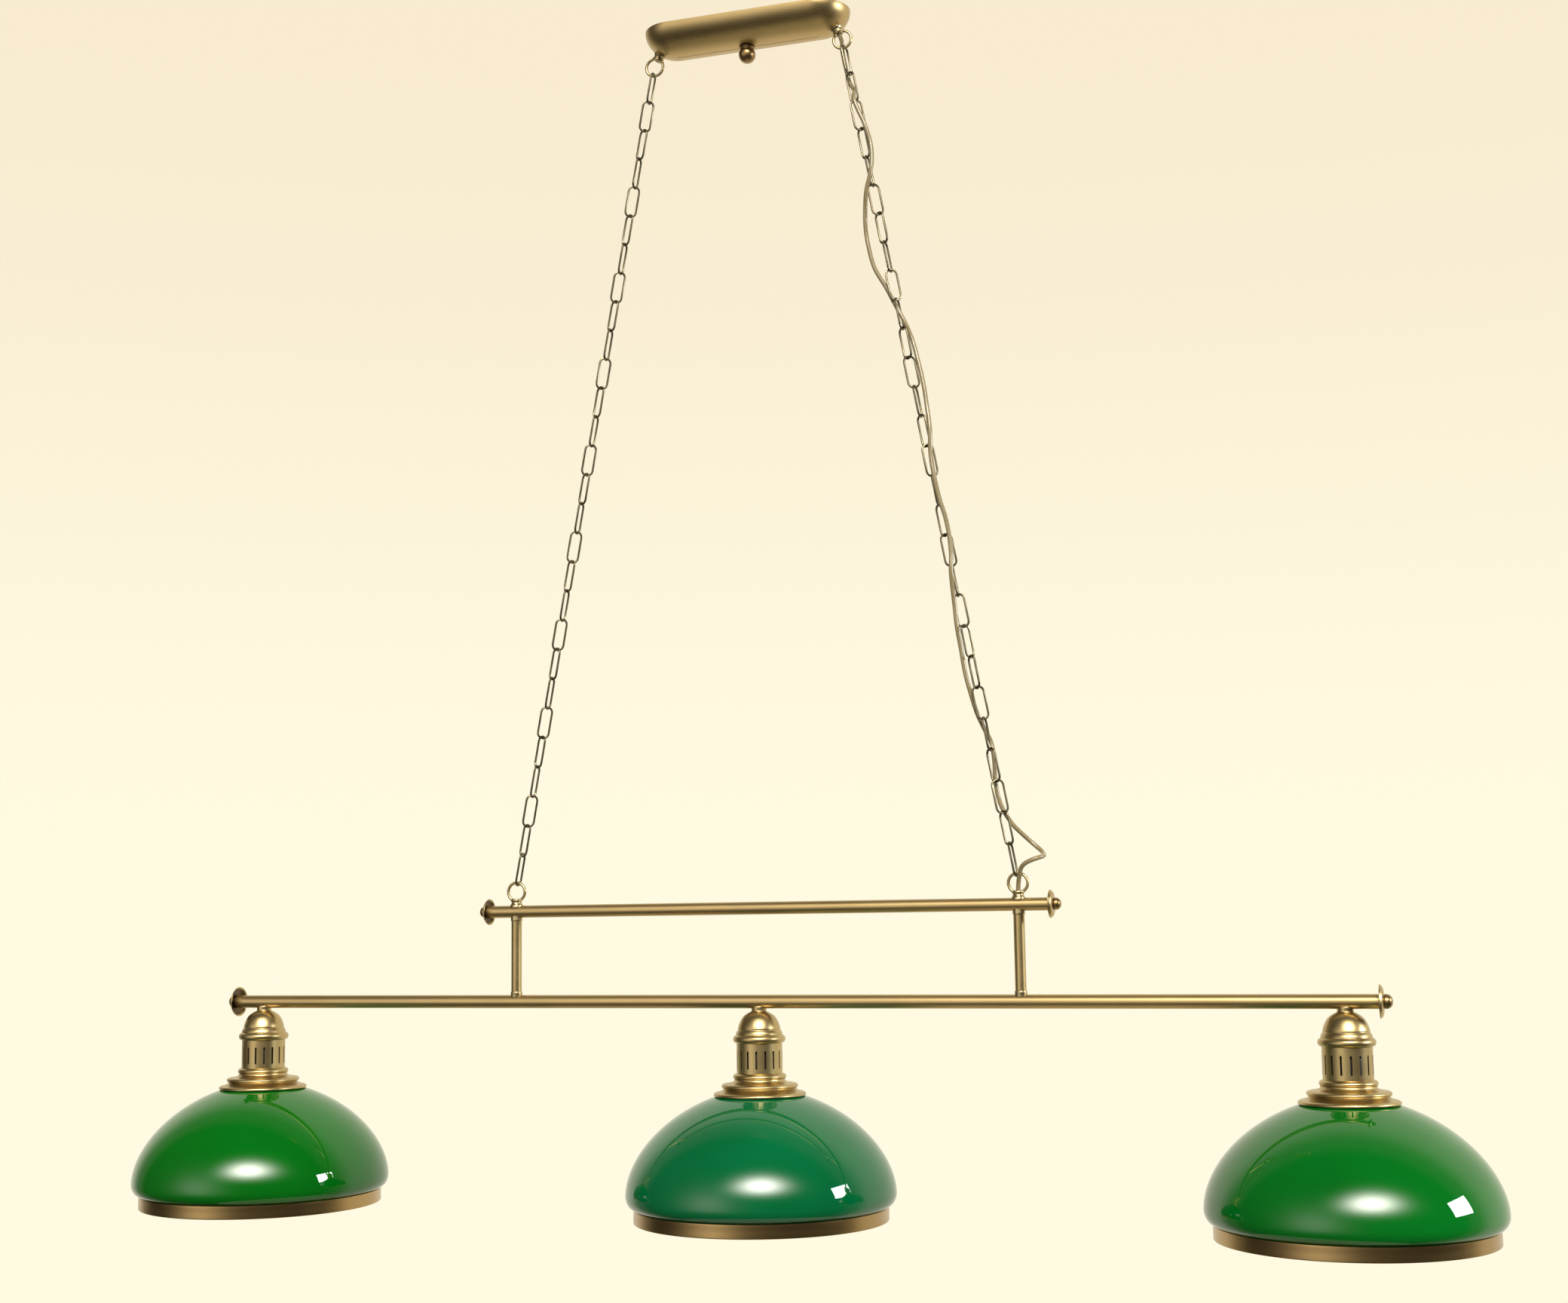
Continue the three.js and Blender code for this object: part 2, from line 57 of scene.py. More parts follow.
# ---- dimensions shared with the CAD ----
CANOPY_HALF, CANOPY_RADIUS, CANOPY_DEPTH, CANOPY_WALL = 87.5, 37.5, 30, 1.3
RING_RADIUS, RING_WIRE, RING_OPENING = 10.5, 1.7, 26.3
CANOPY_FOOT, FRAME_FOOT = 16.4, 18
CANOPY_RING, CANOPY_LEAN = (116.3, 0, -37.8), 26
FRAME_RING = (295, 0, -1006.3)
LINK_COUNT, LINK_WIRE, LINK_END = 28, 1.25, 6.2
RING_TO_LINK, LOOSE_LINK, FUSED_LINK = 3.15, 2.8, 2.2
# The linkage is opened at the left chain's lower end. Its last link reaches this much further up
# than the CAD's, so it stays clear of the link above when the lamp sways.
OPEN_PIVOT_PLAY = 0.6
CABLE_RADIUS = 2.5
UPPER = {"z": -1029, "radius": 7, "end": 332, "flange": 15, "finial": 6.5, "reach": 7.3}
LOWER = {"z": -1131.5, "radius": 7.5, "end": 665, "flange": 17.3, "finial": 7.5, "reach": 8.3}
POST_X, POST_RADIUS = 295, 6
TUBE_WALL = 1.2
LAMP_X = 628
SHADE_RADIUS, SHADE_TOP, SHADE_WIDEST, SHADE_POWER = 148.5, 93.5, 206.5, 1.8
SHADE_WALL = 3.2

# ---- camera, its angles in radians, and studio ----
CAMERA_PLACE, CAMERA_LENS = (0.7791, -2.2280, -1.0346), 48.40
CAMERA_YAW, CAMERA_PITCH, CAMERA_ROLL = -0.3223, 0.1233, -0.01406
WINDOW = {"place": (5.8, 0.2, 0.35), "aim": (0, 0, -1.3), "size": (1.8, 1.5), "power": 190}
WINDOW_COLOUR = (0.93, 0.97, 1)
# Soft patches of light, in degrees: round from the back toward +X, up, and half the width and height.
HIGH_GLOW, HIGH_STRENGTH = (161, 37, 11, 7), 30
SIDE_GLOW, SIDE_STRENGTH = (206, 6, 15, 14), 1.7
GLOW_COLOUR = (1, 0.96, 0.88)
# What the metal and glass reflect, from the front of the room to the wall behind the lamp.
ROOM_TONES = [
    (0.20, (0.06, 0.058, 0.048)), (0.50, (0.06, 0.056, 0.045)), (0.60, (0.26, 0.245, 0.19)),
    (0.78, (1.0, 0.94, 0.77)),
]
# The plain wall seen past the lamp, from level to straight up.
WALL_TONES = [(0.50, (1.0, 0.96, 0.755)), (0.70, (0.94, 0.83, 0.63))]
FLOOR_RADIUS, FLOOR_TOP, FLOOR_THICK = 1300, -3200, 5

# ---- looks ----
# How far each shade's batch of glass leans to blue-green.
GLASS_TINT = {"left": 0.1, "centre": 1.0, "right": 0.2}
# How fine the brushing in the metals' gloss is.
BRUSHING = 160
# Edges that turn by more than this are shaded sharp.
SHARP_DEGREES = 32
LINK_WIRE_SIDES, RING_WIRE_SIDES, CABLE_SIDES = 10, 14, 12


# ---------------------------------------------------------------- mesh helpers
def piece(name, points, faces, material, body, slot, replaced=()):
    """A mesh from points in millimetres, riding on a CAD body."""
    mesh = bpy.data.meshes.new(name)
    mesh.from_pydata([Vector(p) * MM for p in points], [], faces)
    mesh.validate()
    mesh.polygons.foreach_set("use_smooth", [True] * len(mesh.polygons))
    mesh.set_sharp_from_angle(angle=math.radians(SHARP_DEGREES))
    mesh.materials.append(material)
    made = bpy.data.objects.new(name, mesh)
    bpy.context.scene.collection.objects.link(made)
    if body:
        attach(made, body)
    if replaced:
        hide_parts(*replaced)
    return made


def spline(points, steps):
    """A centripetal Catmull-Rom curve through the points, with that many steps between each two."""
    points = [Vector(p) for p in points]
    points = [2 * points[0] - points[1], *points, 2 * points[-1] - points[-2]]
    curve = []
    for p0, p1, p2, p3 in zip(points, points[1:], points[2:], points[3:]):
        d0, d1, d2 = ((b - a).length ** 0.5 or 1e-4 for a, b in ((p0, p1), (p1, p2), (p2, p3)))
        m1 = ((p1 - p0) / d0 - (p2 - p0) / (d0 + d1) + (p2 - p1) / d1) * d1
        m2 = ((p2 - p1) / d1 - (p3 - p1) / (d1 + d2) + (p3 - p2) / d2) * d1
        for i in range(steps):
            t = i / steps
            curve.append(
                p1 * (2 * t**3 - 3 * t**2 + 1)
                + m1 * (t**3 - 2 * t**2 + t)
                + p2 * (3 * t**2 - 2 * t**3)
                + m2 * (t**3 - t**2)
            )
    return [*curve, points[-2]]


def rounded(profile, steps):
    """A [radius, height] profile drawn as smooth runs. None marks a corner between two runs."""
    runs, run = [], []
    for entry in profile:
        if entry is None:
            runs.append(run)
            run = run[-1:]
        else:
            run.append(entry)
    runs.append(run)
    outline = []
    for run in runs:
        if len(run) > 2:
            run = [(p.x, p.y) for p in spline([(r, z, 0) for r, z in run], steps)]
        outline += [p for p in run if not outline or math.dist(p, outline[-1]) > 1e-3]
    return [(max(r, 0), z) for r, z in outline]


def signed_area(profile):
    """Twice a profile's area, negative when it runs clockwise."""
    return sum(a[0] * b[1] - b[0] * a[1] for a, b in zip(profile, profile[1:] + profile[:1]))


def lathe(profile, segments):
    """Points and faces of a profile turned about Z.

    A profile that doesn't start and end on the axis is closed on itself.
    """
    if signed_area(profile) < 0:
        profile = profile[::-1]
    points, rows = [], []
    for r, z in profile:
        if r < 1e-4:
            rows.append([len(points)] * segments)
            points.append((0, 0, z))
            continue
        rows.append(list(range(len(points), len(points) + segments)))
        for i in range(segments):
            angle = 2 * math.pi * (i + 0.5) / segments
            points.append((r * math.cos(angle), r * math.sin(angle), z))
    faces = []
    on_axis = profile[0][0] < 1e-4 and profile[-1][0] < 1e-4
    pairs = list(zip(rows, rows[1:]))
    if not on_axis:
        pairs.append((rows[-1], rows[0]))
    for low, high in pairs:
        for i in range(segments):
            j = (i + 1) % segments
            corners = list(dict.fromkeys([low[i], low[j], high[j], high[i]]))
            if len(corners) > 2:
                faces.append(corners)
    return points, faces


def placed(shape, matrix):
    """A shape, as points and faces, moved by a matrix."""
    points, faces = shape
    return [matrix @ Vector(p) for p in points], faces


def merged(*shapes):
    """Several shapes as one."""
    points, faces = [], []
    for more_points, more_faces in shapes:
        start = len(points)
        points += list(more_points)
        faces += [[start + i for i in face] for face in more_faces]
    return points, faces


def move(x=0, y=0, z=0):
    return Matrix.Translation((x, y, z))


def toward(side):
    """Turns +Z to point along +X or -X."""
    return Matrix.Rotation(side * math.pi / 2, 4, "Y")


def tube(path, radius, sides, closed=False):
    """Points and faces of a round wire along a path, with frames carried along it."""
    path = [Vector(p) for p in path]
    count = len(path)
    tangents = []
    for i in range(count):
        before = path[(i - 1) % count] if closed or i else path[0]
        after = path[(i + 1) % count] if closed or i < count - 1 else path[-1]
        tangents.append((after - before).normalized())
    across = tangents[0].orthogonal().normalized()
    points, faces = [], []
    for i, (at, tangent) in enumerate(zip(path, tangents)):
        if i:
            across = (across - tangent * across.dot(tangent)).normalized()
        other = tangent.cross(across)
        for k in range(sides):
            angle = 2 * math.pi * k / sides
            points.append(at + radius * (math.cos(angle) * across + math.sin(angle) * other))
    for i in range(count if closed else count - 1):
        for k in range(sides):
            a, b = i * sides, ((i + 1) % count) * sides
            faces.append([a + k, a + (k + 1) % sides, b + (k + 1) % sides, b + k])
    if not closed:
        faces.append(list(range(sides))[::-1])
        faces.append([(count - 1) * sides + k for k in range(sides)])
    return points, faces


# ---------------------------------------------------------------- materials
def nodes_of(name):
    """A new material with its node tree and its main shader."""
    material = bpy.data.materials.new(name)
    material.use_nodes = True
    tree = material.node_tree
    return material, tree, tree.nodes["Principled BSDF"]


def noise(tree, scale, detail=3, stretch=(1, 1, 1)):
    """Noise over the object's own coordinates, in metres."""
    place = tree.nodes.new("ShaderNodeTexCoord")
    mapping = tree.nodes.new("ShaderNodeMapping")
    mapping.inputs["Scale"].default_value = stretch
    texture = tree.nodes.new("ShaderNodeTexNoise")
    texture.inputs["Scale"].default_value = scale
    texture.inputs["Detail"].default_value = detail
    tree.links.new(place.outputs["Object"], mapping.inputs["Vector"])
    tree.links.new(mapping.outputs["Vector"], texture.inputs["Vector"])
    return texture.outputs["Fac"]


def ramp(tree, source, *stops):
    """A ramp of (position, value) stops. A value is a colour or one number for a grey."""
    node = tree.nodes.new("ShaderNodeValToRGB")
    while len(node.color_ramp.elements) < len(stops):
        node.color_ramp.elements.new(0.5)
    for element, (position, colour) in zip(node.color_ramp.elements, stops):
        element.position = position
        element.color = (*colour, 1) if isinstance(colour, tuple) else (colour, colour, colour, 1)
    tree.links.new(source, node.inputs["Fac"])
    return node.outputs["Color"]


def attribute(tree, name):
    """A value that the mesh carries at each of its points."""
    node = tree.nodes.new("ShaderNodeAttribute")
    node.attribute_name = name
    return node.outputs["Fac"]


def mixed(tree, factor, first, second, blend="MIX"):
    """Two colours mixed by a factor, which is a socket or a number."""
    mix = tree.nodes.new("ShaderNodeMix")
    mix.data_type = "RGBA"
    mix.blend_type = blend
    if hasattr(factor, "is_linked"):
        tree.links.new(factor, mix.inputs["Factor"])
    else:
        mix.inputs["Factor"].default_value = factor
    tree.links.new(first, mix.inputs["A"])
    tree.links.new(second, mix.inputs["B"])
    return mix.outputs["Result"]


def bump(tree, shader, source, strength, distance):
    """Fine unevenness of a surface. The distance is in metres."""
    node = tree.nodes.new("ShaderNodeBump")
    node.inputs["Strength"].default_value = strength
    node.inputs["Distance"].default_value = distance
    tree.links.new(source, node.inputs["Height"])
    tree.links.new(node.outputs["Normal"], shader.inputs["Normal"])


def metal(name, dark, light, rough, stretch=(1, 1, 1), patina=18, painted_shade=None):
    """Metal with a slow patina in its colour and faint brushing in its gloss.

    A colour of painted shade is laid on where the mesh's attribute of that name is 1.
    """
    material, tree, shader = nodes_of(name)
    shader.inputs["Metallic"].default_value = 1
    colour = ramp(tree, noise(tree, patina), (0.3, dark), (0.7, light))
    if painted_shade:
        # Painted shade: a darker colour laid where the mesh marks it.
        shade_colour = ramp(tree, noise(tree, patina * 4), (0.3, painted_shade[0]), (0.7, painted_shade[1]))
        colour = mixed(tree, attribute(tree, "painted_shade"), colour, shade_colour)
    tree.links.new(colour, shader.inputs["Base Color"])
    gloss = ramp(tree, noise(tree, BRUSHING, 1, stretch), (0.3, rough[0]), (0.7, rough[1]))
    tree.links.new(gloss, shader.inputs["Roughness"])
    return material


BRASS = metal("satin_brass", (0.46, 0.33, 0.15), (0.51, 0.37, 0.17), (0.36, 0.39), (0.05, 1, 1))
TURNED = metal("turned_brass", (0.44, 0.33, 0.15), (0.51, 0.385, 0.18), (0.32, 0.35), (0.08, 0.08, 1))
# The flanges' dished sides get a darker colour, which is painted shade.
FLANGE = metal(
    "flange_brass", (0.43, 0.32, 0.145), (0.50, 0.375, 0.175), (0.28, 0.32), (1, 0.08, 0.08),
    painted_shade=((0.05, 0.03, 0.012), (0.13, 0.085, 0.04)),
)
BRIGHT = metal("bright_brass", (0.44, 0.35, 0.18), (0.50, 0.40, 0.22), (0.32, 0.35), (0.3, 0.3, 1), 40)
AGED = metal("aged_brass", (0.27, 0.175, 0.075), (0.36, 0.24, 0.11), (0.33, 0.36), (0.3, 0.3, 1), 40)
COPPER = metal("copper_brass", (0.36, 0.24, 0.10), (0.43, 0.29, 0.125), (0.24, 0.27), (0.1, 0.1, 1), 10)
CHAIN_METAL = metal("aged_chain", (0.13, 0.108, 0.065), (0.23, 0.195, 0.125), (0.30, 0.38), (1, 1, 1), 60)
STEEL = metal("plated_steel", (0.42, 0.42, 0.40), (0.56, 0.56, 0.54), (0.3, 0.4))


def cased_glass():
    """Green glass over white: the attribute lining is 1 on the white inside.

    The attribute tint says how far the batch leans to blue-green.
    """
    material, tree, shader = nodes_of("green_glass")
    clouds = noise(tree, 7)
    green = ramp(tree, clouds, (0.3, (0.0001, 0.098, 0.001)), (0.7, (0.0001, 0.122, 0.003)))
    teal = ramp(tree, clouds, (0.3, (0.0001, 0.092, 0.026)), (0.7, (0.0001, 0.114, 0.036)))
    outside = mixed(tree, attribute(tree, "tint"), green, teal)
    milk = ramp(tree, noise(tree, 30, 2), (0.3, (0.78, 0.80, 0.76)), (0.7, (0.86, 0.87, 0.83)))
    colour = mixed(tree, attribute(tree, "lining"), outside, milk)
    tree.links.new(colour, shader.inputs["Base Color"])
    bump(tree, shader, noise(tree, 16, 1), 0.08, 0.0005)
    gloss = ramp(tree, noise(tree, 120, 2), (0.35, 0.02), (0.75, 0.035))
    tree.links.new(gloss, shader.inputs["Roughness"])
    shader.inputs["IOR"].default_value = 1.52
    shader.inputs["Specular IOR Level"].default_value = 0.55
    return material


def glazed(name, dark, light, rough):
    """A smooth, faintly clouded surface that isn't metal."""
    material, tree, shader = nodes_of(name)
    tone = ramp(tree, noise(tree, 90), (0.3, dark), (0.7, light))
    tree.links.new(tone, shader.inputs["Base Color"])
    fine = noise(tree, 1080, 2)
    tree.links.new(ramp(tree, fine, (0.3, rough[0]), (0.7, rough[1])), shader.inputs["Roughness"])
    bump(tree, shader, fine, 0.2, 0.00003)
    return material


def cable_sheath():
    """Clear gold-brown sheath: the attribute strand is high where the conductors show through."""
    material, tree, shader = nodes_of("clear_cable")
    strands = ramp(
        tree, attribute(tree, "strand"), (0.1, (0.235, 0.18, 0.085)), (0.9, (0.265, 0.205, 0.10))
    )
    dust = ramp(tree, noise(tree, 120, 2), (0.3, (0.93, 0.93, 0.93)), (0.7, (1, 1, 1)))
    tree.links.new(mixed(tree, 1, strands, dust, "MULTIPLY"), shader.inputs["Base Color"])
    gloss = ramp(tree, noise(tree, 500, 2), (0.3, 0.22), (0.7, 0.36))
    tree.links.new(gloss, shader.inputs["Roughness"])
    shader.inputs["Coat Weight"].default_value = 0.6
    shader.inputs["Coat Roughness"].default_value = 0.12
    return material


GLASS = cased_glass()
FROSTED = glazed("frosted_bulb", (0.82, 0.80, 0.74), (0.9, 0.89, 0.84), (0.32, 0.42))
BAKELITE = glazed("bakelite", (0.012, 0.008, 0.005), (0.03, 0.02, 0.012), (0.3, 0.4))
TERMINAL = glazed("terminal_plastic", (0.74, 0.73, 0.68), (0.82, 0.81, 0.76), (0.45, 0.55))
SHEATH = cable_sheath()


# ---------------------------------------------------------------- camera
def make_camera():
    """The camera stands in front of the lamp, right of its middle, and looks a little left and up."""
    data = bpy.data.cameras.new("camera")
    data.sensor_width = 36
    data.lens = CAMERA_LENS
    data.dof.use_dof = False
    camera = bpy.data.objects.new("camera", data)
    bpy.context.scene.collection.objects.link(camera)
    yaw, pitch, roll = CAMERA_YAW, CAMERA_PITCH, CAMERA_ROLL
    ahead = Vector(
        (math.sin(yaw) * math.cos(pitch), math.cos(yaw) * math.cos(pitch), math.sin(pitch))
    )
    level = Vector((math.cos(yaw), -math.sin(yaw), 0))
    above = level.cross(ahead)
    right = math.cos(roll) * level + math.sin(roll) * above
    up = -math.sin(roll) * level + math.cos(roll) * above
    turn = Matrix((right, up, -ahead)).transposed().to_4x4()
    camera.matrix_world = Matrix.Translation(CAMERA_PLACE) @ turn
    bpy.context.scene.camera = camera


make_camera()


# ---------------------------------------------------------------- chain geometry
def chain_line(side):
    """A chain's start, direction, sideways direction and length, from ring contact to ring contact."""
    top_ring = Vector((side * CANOPY_RING[0], 0, CANOPY_RING[2]))
    low_ring = Vector((side * FRAME_RING[0], 0, FRAME_RING[2]))
    direction = (low_ring - top_ring).normalized()
    # The contacts move with the direction, so it is found in a few rounds.
    for _ in range(12):
        top = top_ring + direction * RING_RADIUS
        bottom = low_ring - direction * RING_RADIUS
        direction = (bottom - top).normalized()
    sideways = Vector((-direction.z, 0, direction.x))
    return top, direction, sideways, (bottom - top).length


CHAIN = {word: chain_line(side) for word, side in SIDES.items()}
CHAIN_LENGTH = CHAIN["right"][3]
PITCH = CHAIN_LENGTH / LINK_COUNT
SPACINGS = [LOOSE_LINK] + [FUSED_LINK] * (LINK_COUNT - 3) + [LOOSE_LINK]
LINK_LENGTH = (CHAIN_LENGTH + 2 * RING_TO_LINK + sum(SPACINGS)) / LINK_COUNT
LINK_TOPS = [-RING_TO_LINK]
for spacing in SPACINGS:
    LINK_TOPS.append(LINK_TOPS[-1] + LINK_LENGTH - spacing)
# Each chain's first link turn, then runs of (links, further turn for each), all in degrees.
TWIST = {
    "left": (90, [(27, -60)]),
    "right": (75, [(1, 72), (1, 58), (6, -60), (9, 60), (5, 72), (3, 60), (2, -60)]),
}


def chain_point(word, along, sideways, depth):
    """A point measured from a chain's line, with depth away from the front."""
    top, direction, across, _ = CHAIN[word]
    return top + direction * along + across * sideways + Vector((0, depth, 0))


def link(word, index, degrees):
    """One oval link of round wire, turned about the chain's line."""
    turn, r = math.radians(degrees), LINK_END
    top, bottom = LINK_TOPS[index], LINK_TOPS[index] + LINK_LENGTH
    if word == "left" and index == LINK_COUNT - 1:
        top -= OPEN_PIVOT_PLAY
    outline = []
    for i in range(9):
        angle = math.pi * i / 8
        outline.append((top + r - r * math.sin(angle), r * math.cos(angle)))
    for i in range(9):
        angle = math.pi * i / 8
        outline.append((bottom - r + r * math.sin(angle), -r * math.cos(angle)))
    path = [
        chain_point(word, along, across * math.cos(turn), across * math.sin(turn))
        for along, across in outline
    ]
    return tube(path, LINK_WIRE, LINK_WIRE_SIDES, closed=True)


def chains():
    """Each chain as its top link, the links that move as one body, and its bottom link."""
    for word in SIDES:
        start, runs = TWIST[word]
        twist = [start]
        for count, step in runs:
            for _ in range(count):
                twist.append(twist[-1] + step)
        links = [link(word, i, degrees) for i, degrees in enumerate(twist)]
        top, run, bottom = (f"chain_{word}_top_link", f"chain_{word}", f"chain_{word}_bottom_link")
        piece(f"{top}_wire", *links[0], CHAIN_METAL, "top_links", "aged_chain", [top])
        piece(f"{run}_wires", *merged(*links[1:-1]), CHAIN_METAL, f"{word}_chain", "aged_chain", [run])
        piece(f"{bottom}_wire", *links[-1], CHAIN_METAL, "bottom_links", "aged_chain", [bottom])


# ---------------------------------------------------------------- cable
# Each place is [links down the right chain, sideways, depth], the last two in millimetres.
CABLE_PLACES = [
    [-0.27, -1.6, 2.4], [-0.03, -3.6, 5.2], [0.25, -4.2, 6.2], [0.7, -4.2, 7.2],
    [1.11, -3.5, 7], [1.51, 0.5, 4], [1.86, 0.2, -5.5], [2.27, 2.2, -7], [2.89, 6.8, -7],
    [3.59, 8.8, -6], [4.22, 6.9, -9.2], [4.66, 2, -10.3], [5.14, -6.5, -8], [5.81, -14.5, -2],
    [6.43, -18.5, 0], [7, -19, 0], [7.7, -17.5, 1], [8.45, -9.5, 4], [9.06, -3.5, 2.5],
    [9.7, 3, 2], [10.31, 7, 4.5], [11.15, 9.5, 2], [11.96, 10.5, 0], [12.77, 9.5, -2],
    [13.53, 8.6, -6.5], [14.32, 4, -7.5], [15.02, 3, -9], [15.87, 3.5, -8.5],
    [16.48, 5.5, -7.5], [17.07, 5.5, -7], [17.73, 3.5, -8.4], [18.26, 0, -10.5],
    [18.82, -3, -7], [19.29, -5, -4.4], [20.03, -7.6, -3.4], [20.73, -9, 0], [21.52, -10, 1],
    [22.16, -9, 2.5], [22.82, -7, 4.5], [23.29, -4, 8.5], [23.82, 0.5, 10.5], [24.37, 0.5, 7.5],
    [24.88, -2, 7.5], [25.4, -3.5, 7], [25.91, -1.5, 7], [26.49, 6, 8], [26.86, 14, 12],
    [27.2, 22.5, 14], [27.45, 29.5, 11.5], [27.6, 33, 5], [27.66, 33, -3], [27.69, 28, -9.5],
    [27.73, 20, -11.5], [27.79, 13, -10.5], [27.9, 8, -8], [28.05, 5, -5.6], [28.3, 1, -1.6],
]
# The cable's places inside the canopy, in millimetres, from the terminal block to the eyelet.
CABLE_INSIDE = [(73, 0, -9), (82, 0, -8.4), (93, 0, -7.4), (101.5, 0, -9)]
CABLE_STEPS = 10
# Where the cable's four pieces meet, as the links in CABLE_PLACES.
CABLE_JOINS = (0.25, 26.49, 27.9)
# Millimetres of cable in which its conductors turn by one radian.
CONDUCTOR_TURN = 5.5


def cable_route():
    """The whole cable's line, and the steps where its four pieces meet."""
    lean = math.radians(CANOPY_LEAN)
    axis = Vector((-math.sin(lean), 0, math.cos(lean)))
    collar = [Vector(CANOPY_RING) + axis * d for d in (21, 14, 8.5)]
    places = [chain_point("right", n * PITCH, u, y) for n, u, y in CABLE_PLACES]
    end = [Vector(FRAME_RING) + Vector((0, 0, -d)) for d in (8.5, 14, 20.5)]
    line = spline([*CABLE_INSIDE, *collar, *places, *end], CABLE_STEPS)
    before = len(CABLE_INSIDE) + len(collar)
    counts = [place[0] for place in CABLE_PLACES]
    joins = [(before + counts.index(n)) * CABLE_STEPS for n in CABLE_JOINS]
    return line, joins


def cable():
    """The cable in four pieces. Each is listed with the two moving bodies it runs between and two heights,
    which nothing here uses.
    """
    line, joins = cable_route()
    along = [0.0]
    for a, b in zip(line, line[1:]):
        along.append(along[-1] + (b - a).length)
    sides = CABLE_SIDES
    points, _ = tube(line, CABLE_RADIUS, sides)
    ends = [0, *joins, len(line) - 1]
    names = ["cable_top", "cable_run", "cable_loop", "cable_tail"]
    bodies = [
        ("canopy", "top_links", -38, -55),
        ("top_links", "right_chain", -64, -95),
        ("right_chain", "bottom_links", -950, -985),
        ("bottom_links", "frame", -993, -1008),
    ]
    for name, first, last, (above, under, start, stop) in zip(names, ends, ends[1:], bodies):
        rings = points[first * sides : (last + 1) * sides]
        count = last - first + 1
        faces = []
        for a in range(0, (count - 1) * sides, sides):
            b = a + sides
            for k in range(sides):
                faces.append([a + k, a + (k + 1) % sides, b + (k + 1) % sides, b + k])
        faces += [list(range(sides))[::-1], [(count - 1) * sides + k for k in range(sides)]]
        replaced = ["cable"] if name == "cable_run" else []
        part = piece(name, rings, faces, SHEATH, None, "clear_cable", replaced)
        strand = part.data.attributes.new("strand", "FLOAT", "POINT")
        values = []
        for i in range(count):
            turn = along[first + i] / CONDUCTOR_TURN
            values += [0.5 + 0.5 * math.cos(4 * math.pi * k / sides + turn) for k in range(sides)]
        strand.data.foreach_set("value", values)
        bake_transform(part)


cable()


# ---------------------------------------------------------------- canopy
def stadium(shape, half):
    """A turned shape pulled apart along X."""
    points, faces = shape
    return [(p[0] + math.copysign(half, p[0]), p[1], p[2]) for p in points], faces


def bowl(radius, depth, steps=20):
    """The quarter ellipse of a bowl, from its edge to the middle of its bottom."""
    angles = [math.pi / 2 * i / steps for i in range(steps + 1)]
    return [(radius * math.cos(a), -depth * math.sin(a)) for a in angles]


def canopy():
    """The long dished cover and the ball knob under it."""
    outer = bowl(CANOPY_RADIUS, CANOPY_DEPTH)
    inner = bowl(CANOPY_RADIUS - CANOPY_WALL, CANOPY_DEPTH - CANOPY_WALL)
    outer[-1], inner[-1] = (0.4, -CANOPY_DEPTH), (0.4, CANOPY_WALL - CANOPY_DEPTH)
    lip = [(CANOPY_RADIUS - 0.5, -0.02), (CANOPY_RADIUS - 0.1, -0.3)]
    shell = lathe([*lip, *outer[1:], *inner[::-1]], 128)
    piece("canopy_dome", *stadium(shell, CANOPY_HALF), BRASS, "canopy", "satin_brass", ["canopy_shell"])

    knob = rounded(
        [(3.4, -30.4), None, (9.2, -30.4), None, (9.2, -31.1), None, (8.1, -32), (8.0, -32.8),
         (8.3, -33.8), None, (9.4, -36), (9.85, -39.2), (9.1, -43.0), (6.7, -46.5), (3.5, -48.4),
         (0, -49)],
        6,
    )
    knob += [(0, -39.5), (3.4, -39.5)]
    piece("canopy_ball_knob", *lathe(knob, 48), AGED, "knob", "bright_brass", ["canopy_knob"])


def eyelet(foot):
    """An eyelet with its ring's centre at the origin and its collar toward +Z, down to its foot."""
    start = math.radians(RING_OPENING)
    path = []
    for i in range(41):
        angle = start + i / 40 * 2 * (math.pi - start)
        path.append((math.sin(angle) * RING_RADIUS, 0, math.cos(angle) * RING_RADIUS))
    path.insert(0, (path[0][0], 0, path[0][2] + 2.4))
    path.append((path[-1][0], 0, path[-1][2] + 2.4))
    collar = rounded(
        [(3, 7.9), None, (5.4, 7.9), (6.5, 8.5), (6.9, 9.7), (6.6, 10.8), (5.9, 11.5), None,
         (5.8, 12.0), (6.1, 13.2), (6.8, 14.3), (7.3, 15.2), None, (7.3, foot), None, (3, foot)],
        5,
    )
    return merged(tube(path, RING_WIRE, RING_WIRE_SIDES), lathe(collar, 40))


def eyelets():
    """Two eyelets lean out under the canopy, and two stand on the upper bar."""
    for word, side in SIDES.items():
        lean = Matrix.Rotation(math.radians(-side * CANOPY_LEAN), 4, "Y")
        at = move(side * CANOPY_RING[0], 0, CANOPY_RING[2]) @ lean
        name = f"canopy_eyelet_{word}"
        piece(f"{name}_ring", *placed(eyelet(CANOPY_FOOT), at), BRIGHT, "canopy", "bright_brass", [name])
        at = move(side * FRAME_RING[0], 0, FRAME_RING[2]) @ Matrix.Rotation(math.pi, 4, "X")
        name = f"frame_eyelet_{word}"
        piece(f"{name}_ring", *placed(eyelet(FRAME_FOOT), at), BRIGHT, "frame", "bright_brass", [name])


# ---------------------------------------------------------------- frame
def in_hollow(point, dims):
    """Where painted shade goes: 1 on the dished side of an end flange, which faces along the bar, and 0
    elsewhere.
    """
    flange = dims["flange"]
    radius = math.hypot(point.y, point.z - dims["z"])
    outward = abs(point.x) - dims["end"]
    # This curve lies between the flange's two sides, from its middle out to its rolled rim.
    between = 0.75 - 3.2 * (radius / flange) ** 4
    return 1.0 if radius < flange - 1.7 and outward < between else 0.0


